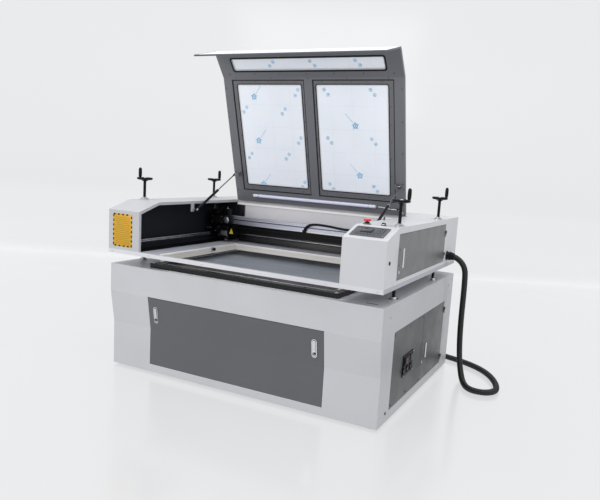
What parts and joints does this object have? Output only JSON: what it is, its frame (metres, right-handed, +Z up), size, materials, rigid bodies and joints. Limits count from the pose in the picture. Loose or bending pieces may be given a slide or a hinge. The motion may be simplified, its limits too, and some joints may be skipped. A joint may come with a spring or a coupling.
{
  "type": "laser engraver",
  "caption": "Gantry laser engraver: a lower cabinet with a slatted table and an upper head on hand-cranked jack screws, with a windowed lid on gas springs.",
  "frame": {"origin": "on the floor, midway between the cabinet's sides and between the head's front and the exhaust spigot's end", "axes": "+X to the operator's right along the beam, +Y to the back, +Z up"},
  "size_m": [2.3259, 1.5974, 2.0886],
  "materials": {
    "casing_white": "satin powder coat",
    "panel_grey": "textured dark grey powder coat",
    "door_grey": "satin grey powder coat",
    "tray_lavender": "satin powder coat",
    "flange_cream": "satin powder coat",
    "black_metal": "satin black",
    "frame_steel": "primer",
    "chrome": "polished",
    "steel": "ground",
    "slat_aluminium": "dark anodised",
    "aluminium": "anodised extrusion",
    "lid_grey": "dark grey powder coat",
    "lid_white": "white powder coat",
    "window_film": "clear sheet under protective film",
    "lamp": "diffuser tube",
    "black_plastic": "moulded",
    "red_plastic": "moulded",
    "electrics": "mixed",
    "hose_rubber": "matt",
    "tube_glass": "clear glass"
  },
  "bodies": {
    "base": {"base_frame": "frame_steel", "base_front_skin": "casing_white", "base_left_skin": "casing_white", "base_right_skin": "casing_white", "base_rear_skin": "casing_white", "base_deck": "casing_white", "levelling_feet": "steel", "right_fixed_panel": "door_grey", "socket_plate": "black_plastic", "electronics_plate": "electrics", "table_frame": "black_metal", "table_slats": "slat_aluminium", "jack_cups": "chrome", "base_hose_gland": "black_plastic", "hose": "hose_rubber"},
    "front_panel": {"front_panel": "panel_grey"},
    "latch_left": {"latch_left": "chrome"},
    "latch_right": {"latch_right": "chrome"},
    "base_right_door": {"base_right_door": "door_grey", "base_right_handle": "chrome"},
    "base_left_door": {"base_left_door": "door_grey"},
    "head": {"head_tray": "tray_lavender", "left_housing": "casing_white", "right_housing": "casing_white", "rear_housing": "casing_white", "inner_rear_cover": "tray_lavender", "work_flange": "flange_cream", "jack_nuts": "chrome", "y_rails": "steel", "control_panel": "panel_grey", "stop_switch_base": "black_plastic", "head_hose_gland": "black_plastic", "exhaust_spigot": "steel", "laser_tube": "tube_glass", "tube_brackets": "black_plastic"},
    "stop_button": {"stop_button": "red_plastic"},
    "key": {"key_switch": "chrome"},
    "head_right_door": {"head_right_door": "door_grey", "head_right_handle": "chrome"},
    "gantry": {"gantry_beam": "aluminium", "x_rail": "black_metal", "beam_carriages": "black_metal", "beam_conduit": "black_plastic"},
    "laser_head": {"laser_head": "black_metal"},
    "lid": {"lid_frame": "lid_grey", "lid_windows": "window_film", "lid_front_plate": "lid_white", "lid_lamp": "lamp"},
    "jack_front_left": {"handwheel_front_left": "black_metal"},
    "grip_front_left": {"crank_grip_front_left": "black_plastic"},
    "jack_front_right": {"handwheel_front_right": "black_metal"},
    "grip_front_right": {"crank_grip_front_right": "black_plastic"},
    "jack_rear_left": {"handwheel_rear_left": "black_metal"},
    "grip_rear_left": {"crank_grip_rear_left": "black_plastic"},
    "jack_rear_right": {"handwheel_rear_right": "black_metal"},
    "grip_rear_right": {"crank_grip_rear_right": "black_plastic"},
    "spring_tube_left": {"gas_spring_tube_left": "black_metal"},
    "spring_rod_left": {"gas_spring_rod_left": "chrome"},
    "spring_tube_right": {"gas_spring_tube_right": "black_metal"},
    "spring_rod_right": {"gas_spring_rod_right": "chrome"}
  },
  "joints": [
    {"name": "head_lift", "type": "slide", "parent": "base", "child": "head", "axis": [0, 0, 1], "range_m": [-0.03, 0.1]},
    {"name": "jack_front_left_turn", "type": "hinge", "parent": "base", "child": "jack_front_left", "pos_m": [-0.885, -0.455, 1.205], "axis": [0, 0, 1], "range_deg": [-1440, 3600]},
    {"name": "grip_front_left_spin", "type": "hinge", "parent": "jack_front_left", "child": "grip_front_left", "pos_m": [-0.925, -0.455, 1.25], "axis": [0, 0, 1], "continuous": true},
    {"name": "jack_front_right_turn", "type": "hinge", "parent": "base", "child": "jack_front_right", "pos_m": [0.885, -0.455, 1.205], "axis": [0, 0, 1], "range_deg": [-1440, 3600]},
    {"name": "grip_front_right_spin", "type": "hinge", "parent": "jack_front_right", "child": "grip_front_right", "pos_m": [0.92259, -0.44132, 1.25], "axis": [0, 0, 1], "continuous": true},
    {"name": "jack_rear_left_turn", "type": "hinge", "parent": "base", "child": "jack_rear_left", "pos_m": [-0.885, 0.3, 1.205], "axis": [0, 0, 1], "range_deg": [-1440, 3600]},
    {"name": "grip_rear_left_spin", "type": "hinge", "parent": "jack_rear_left", "child": "grip_rear_left", "pos_m": [-0.84741, 0.31368, 1.25], "axis": [0, 0, 1], "continuous": true},
    {"name": "jack_rear_right_turn", "type": "hinge", "parent": "base", "child": "jack_rear_right", "pos_m": [0.885, 0.3, 1.205], "axis": [0, 0, 1], "range_deg": [-1440, 3600]},
    {"name": "grip_rear_right_spin", "type": "hinge", "parent": "jack_rear_right", "child": "grip_rear_right", "pos_m": [0.92259, 0.31368, 1.25], "axis": [0, 0, 1], "continuous": true},
    {"name": "front_panel_off", "type": "slide", "parent": "base", "child": "front_panel", "axis": [0, -1, 0], "range_m": [0, 0.3]},
    {"name": "latch_left_lift", "type": "hinge", "parent": "front_panel", "child": "latch_left", "pos_m": [-0.564, -0.69478, 0.43378], "axis": [-1, 0, 0], "range_deg": [0, 40], "stiffness_Nm_per_rad": 0.05, "springref_deg": -17.19},
    {"name": "latch_right_lift", "type": "hinge", "parent": "front_panel", "child": "latch_right", "pos_m": [0.54, -0.69478, 0.43378], "axis": [-1, 0, 0], "range_deg": [0, 40], "stiffness_Nm_per_rad": 0.05, "springref_deg": -17.19},
    {"name": "base_right_door_swing", "type": "hinge", "parent": "base", "child": "base_right_door", "pos_m": [0.9296, 0.517, 0.285], "axis": [0, 0, 1], "range_deg": [0, 55]},
    {"name": "base_left_door_swing", "type": "hinge", "parent": "base", "child": "base_left_door", "pos_m": [-0.9296, 0.517, 0.285], "axis": [0, 0, -1], "range_deg": [0, 110]},
    {"name": "head_right_door_swing", "type": "hinge", "parent": "head", "child": "head_right_door", "pos_m": [0.9266, 0.381, 0.919], "axis": [0, 0, 1], "range_deg": [0, 90]},
    {"name": "stop_button_press", "type": "slide", "parent": "head", "child": "stop_button", "axis": [0, 0, -1], "range_m": [0, 0.004]},
    {"name": "key_turn", "type": "hinge", "parent": "head", "child": "key", "pos_m": [0.815, -0.505, 1.09], "axis": [0, 0, -1], "range_deg": [0, 90]},
    {"name": "gantry_y", "type": "slide", "parent": "head", "child": "gantry", "axis": [0, -1, 0], "range_m": [0, 0.72]},
    {"name": "laser_head_x", "type": "slide", "parent": "gantry", "child": "laser_head", "axis": [1, 0, 0], "range_m": [0, 1.18]},
    {"name": "lid_close", "type": "hinge", "parent": "head", "child": "lid", "pos_m": [0, 0.326, 1.0806], "axis": [1, 0, 0], "range_deg": [0, 74.4]},
    {"name": "spring_tube_left_swing", "type": "hinge", "parent": "head", "child": "spring_tube_left", "pos_m": [-0.642, -0.215, 1.02], "axis": [-1, 0, 0], "range_deg": [-1, 30]},
    {"name": "spring_rod_left_slide", "type": "slide", "parent": "spring_tube_left", "child": "spring_rod_left", "axis": [0, -0.8697, -0.4935], "range_m": [-0.005, 0.18]},
    {"name": "spring_tube_right_swing", "type": "hinge", "parent": "head", "child": "spring_tube_right", "pos_m": [0.642, -0.215, 1.02], "axis": [-1, 0, 0], "range_deg": [-1, 30]},
    {"name": "spring_rod_right_slide", "type": "slide", "parent": "spring_tube_right", "child": "spring_rod_right", "axis": [0, -0.8697, -0.4935], "range_m": [-0.005, 0.18]}
  ],
  "couplings": [
    {"joint": "jack_front_left_turn", "follows": "head_lift", "rad_per_m": 628.32},
    {"joint": "jack_front_right_turn", "follows": "head_lift", "rad_per_m": 628.32},
    {"joint": "jack_rear_left_turn", "follows": "head_lift", "rad_per_m": 628.32},
    {"joint": "jack_rear_right_turn", "follows": "head_lift", "rad_per_m": 628.32},
    {"joint": "spring_tube_left_swing", "follows": "lid_close", "ratio": 0.38597},
    {"joint": "spring_rod_left_slide", "follows": "lid_close", "m_per_rad": 0.12508},
    {"joint": "spring_tube_right_swing", "follows": "lid_close", "ratio": 0.38597},
    {"joint": "spring_rod_right_slide", "follows": "lid_close", "m_per_rad": 0.12508}
  ]
}
